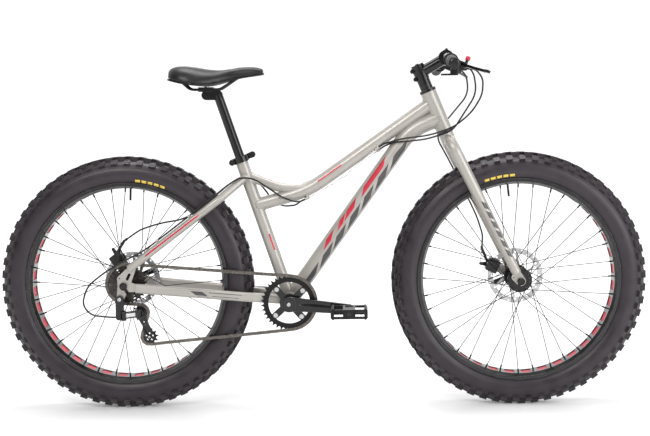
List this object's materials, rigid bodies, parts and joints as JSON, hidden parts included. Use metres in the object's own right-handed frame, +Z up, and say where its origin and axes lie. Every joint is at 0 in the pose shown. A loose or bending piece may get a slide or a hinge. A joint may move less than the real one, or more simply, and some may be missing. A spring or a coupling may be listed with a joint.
{
  "type": "fat tire bike",
  "caption": "Fat tire bicycle with a swooping diamond frame, rigid fork, disc brakes, a single chainring, a derailleur and knobby wide tyres; it steers, pedals, shifts and brakes.",
  "frame": {"origin": "on the ground, midway between the two axles, in the middle plane of the frame", "axes": "+X forward, +Y to the rider's left, +Z up"},
  "size_m": [1.842, 0.693, 1.0195],
  "materials": {
    "frame_paint": "satin",
    "black_metal": "satin",
    "tyre": "matte",
    "rubber": "matte",
    "saddle_cover": "satin",
    "black_plastic": "matte",
    "steel": "bright"
  },
  "bodies": {
    "frame": {"head_tube": "frame_paint", "top_tube": "frame_paint", "down_tube": "frame_paint", "seat_tube": "frame_paint", "bottom_bracket": "frame_paint", "chainstays": "frame_paint", "seatstays": "frame_paint", "dropouts": "frame_paint", "cable_guides": "black_metal", "headset_cups": "black_metal", "seat_clamp": "black_metal", "rear_axle": "black_metal", "rear_caliper": "black_metal", "chain": "steel", "rear_cables": "black_plastic", "derailleur_knuckle": "black_metal", "front_cables": "black_plastic"},
    "steering": {"fork": "frame_paint", "headset_spacers": "black_metal", "stem": "black_metal", "handlebar": "black_metal", "grips": "rubber", "brake_perches": "black_metal", "shifter": "black_plastic", "front_caliper": "black_metal", "front_axle": "black_metal", "front_brake_cable": "black_plastic"},
    "seat": {"seatpost": "black_metal", "saddle_base": "black_plastic", "saddle_pad": "saddle_cover"},
    "front_wheel": {"front_tyre": "tyre", "front_rim": "black_metal", "front_spokes": "black_metal", "front_hub": "black_metal", "front_rotor": "steel"},
    "rear_wheel": {"rear_tyre": "tyre", "rear_rim": "black_metal", "rear_spokes": "black_metal", "rear_hub": "black_metal", "rear_rotor": "steel"},
    "crank": {"crank_right": "black_metal", "crank_left": "black_metal", "chainring": "black_metal"},
    "cassette": {"cassette": "steel"},
    "pedal_right": {"pedal_right": "black_plastic"},
    "pedal_left": {"pedal_left": "black_plastic"},
    "seat_clamp_lever": {"seat_clamp_lever": "black_metal"},
    "front_skewer_lever": {"front_skewer_lever": "black_metal"},
    "rear_skewer_lever": {"rear_skewer_lever": "black_metal"},
    "brake_lever_right": {"brake_lever_right": "black_metal"},
    "brake_lever_left": {"brake_lever_left": "black_metal"},
    "shifter_lever": {"shifter_lever": "black_plastic"},
    "front_caliper_arm": {"front_caliper_arm": "steel"},
    "rear_caliper_arm": {"rear_caliper_arm": "steel"},
    "derailleur_outer_link": {"derailleur_outer_link": "black_metal"},
    "derailleur_inner_link": {"derailleur_inner_link": "black_metal"},
    "derailleur_p_knuckle": {"derailleur_p_knuckle": "black_metal"},
    "derailleur_cage": {"derailleur_cage": "black_metal"},
    "guide_pulley": {"guide_pulley": "black_plastic"},
    "tension_pulley": {"tension_pulley": "black_plastic"}
  },
  "joints": [
    {"name": "steer", "type": "hinge", "parent": "frame", "child": "steering", "pos_m": [0.35617, 0, 0.77589], "axis": [-0.3827, 0, 0.9239], "range_deg": [-60, 60], "deforming": ["front_cables"]},
    {"name": "front_wheel_spin", "type": "hinge", "parent": "steering", "child": "front_wheel", "pos_m": [0.559, 0, 0.362], "axis": [0, 1, 0], "continuous": true},
    {"name": "rear_wheel_spin", "type": "hinge", "parent": "frame", "child": "rear_wheel", "pos_m": [-0.559, 0, 0.362], "axis": [0, 1, 0], "continuous": true},
    {"name": "crank_spin", "type": "hinge", "parent": "frame", "child": "crank", "pos_m": [-0.09424, 0, 0.307], "axis": [0, 1, 0], "continuous": true, "deforming": ["chain"]},
    {"name": "cassette_spin", "type": "hinge", "parent": "frame", "child": "cassette", "pos_m": [-0.559, 0, 0.362], "axis": [0, 1, 0], "continuous": true},
    {"name": "pedal_right_spin", "type": "hinge", "parent": "crank", "child": "pedal_right", "pos_m": [0.07497, 0, 0.29071], "axis": [0, 1, 0], "continuous": true},
    {"name": "pedal_left_spin", "type": "hinge", "parent": "crank", "child": "pedal_left", "pos_m": [-0.26346, 0, 0.32329], "axis": [0, 1, 0], "continuous": true},
    {"name": "derailleur_shift", "type": "hinge", "parent": "frame", "child": "derailleur_outer_link", "pos_m": [-0.558, -0.107, 0.28], "axis": [0, 0, 1], "range_deg": [-40, 2]},
    {"name": "derailleur_inner_link_turn", "type": "hinge", "parent": "frame", "child": "derailleur_inner_link", "pos_m": [-0.564, -0.092, 0.28], "axis": [0, 0, 1], "range_deg": [-41, 3]},
    {"name": "derailleur_p_knuckle_turn", "type": "hinge", "parent": "derailleur_outer_link", "child": "derailleur_p_knuckle", "pos_m": [-0.52, -0.075, 0.28], "axis": [0, 0, 1], "range_deg": [-3, 41]},
    {"name": "derailleur_cage_turn", "type": "hinge", "parent": "derailleur_p_knuckle", "child": "derailleur_cage", "pos_m": [-0.52, 0, 0.28], "axis": [0, 1, 0], "range_deg": [-12, 50], "stiffness_Nm_per_rad": 4},
    {"name": "guide_pulley_spin", "type": "hinge", "parent": "derailleur_cage", "child": "guide_pulley", "pos_m": [-0.52, 0, 0.28], "axis": [0, 1, 0], "continuous": true},
    {"name": "tension_pulley_spin", "type": "hinge", "parent": "derailleur_cage", "child": "tension_pulley", "pos_m": [-0.49624, 0, 0.20992], "axis": [0, 1, 0], "continuous": true},
    {"name": "brake_lever_right_pull", "type": "hinge", "parent": "steering", "child": "brake_lever_right", "pos_m": [0.38985, -0.19967, 0.96427], "axis": [-0.3746, 0, -0.9272], "range_deg": [0, 22], "stiffness_Nm_per_rad": 1.2},
    {"name": "brake_lever_left_pull", "type": "hinge", "parent": "steering", "child": "brake_lever_left", "pos_m": [0.38985, 0.19967, 0.96427], "axis": [0.3746, 0, 0.9272], "range_deg": [0, 22], "stiffness_Nm_per_rad": 1.2},
    {"name": "rear_caliper_arm_turn", "type": "hinge", "parent": "frame", "child": "rear_caliper_arm", "pos_m": [-0.60073, 0, 0.41944], "axis": [0, 1, 0], "range_deg": [0, 17], "deforming": ["rear_cables"]},
    {"name": "front_caliper_arm_turn", "type": "hinge", "parent": "steering", "child": "front_caliper_arm", "pos_m": [0.49465, 0, 0.39201], "axis": [0, 1, 0], "range_deg": [0, 17], "deforming": ["front_brake_cable"]},
    {"name": "shifter_lever_push", "type": "hinge", "parent": "steering", "child": "shifter_lever", "pos_m": [0.37123, -0.15688, 0.94363], "axis": [0, 0, 1], "range_deg": [0, 35], "stiffness_Nm_per_rad": 0.3},
    {"name": "seat_clamp_lever_open", "type": "hinge", "parent": "frame", "child": "seat_clamp_lever", "pos_m": [-0.25391, 0.0273, 0.70226], "axis": [-0.3665, 0, 0.9304], "range_deg": [0, 170]},
    {"name": "front_skewer_open", "type": "hinge", "parent": "steering", "child": "front_skewer_lever", "pos_m": [0.559, 0.0858, 0.362], "axis": [0.4226, 0, -0.9063], "range_deg": [0, 170]},
    {"name": "rear_skewer_open", "type": "hinge", "parent": "frame", "child": "rear_skewer_lever", "pos_m": [-0.559, 0.1033, 0.362], "axis": [-0.342, 0, 0.9397], "range_deg": [0, 170]},
    {"name": "seatpost_slide", "type": "slide", "parent": "frame", "child": "seat", "axis": [-0.3173, 0, 0.9483], "range_m": [-0.14, 0.07]}
  ],
  "couplings": [
    {"joint": "cassette_spin", "follows": "crank_spin", "ratio": 1.3571},
    {"joint": "guide_pulley_spin", "follows": "crank_spin", "ratio": -3.4545},
    {"joint": "tension_pulley_spin", "follows": "crank_spin", "ratio": 3.4545},
    {"joint": "derailleur_inner_link_turn", "follows": "derailleur_shift", "ratio": 1},
    {"joint": "derailleur_p_knuckle_turn", "follows": "derailleur_shift", "ratio": -1},
    {"joint": "rear_caliper_arm_turn", "follows": "brake_lever_right_pull", "ratio": 0.75},
    {"joint": "front_caliper_arm_turn", "follows": "brake_lever_left_pull", "ratio": 0.75}
  ]
}
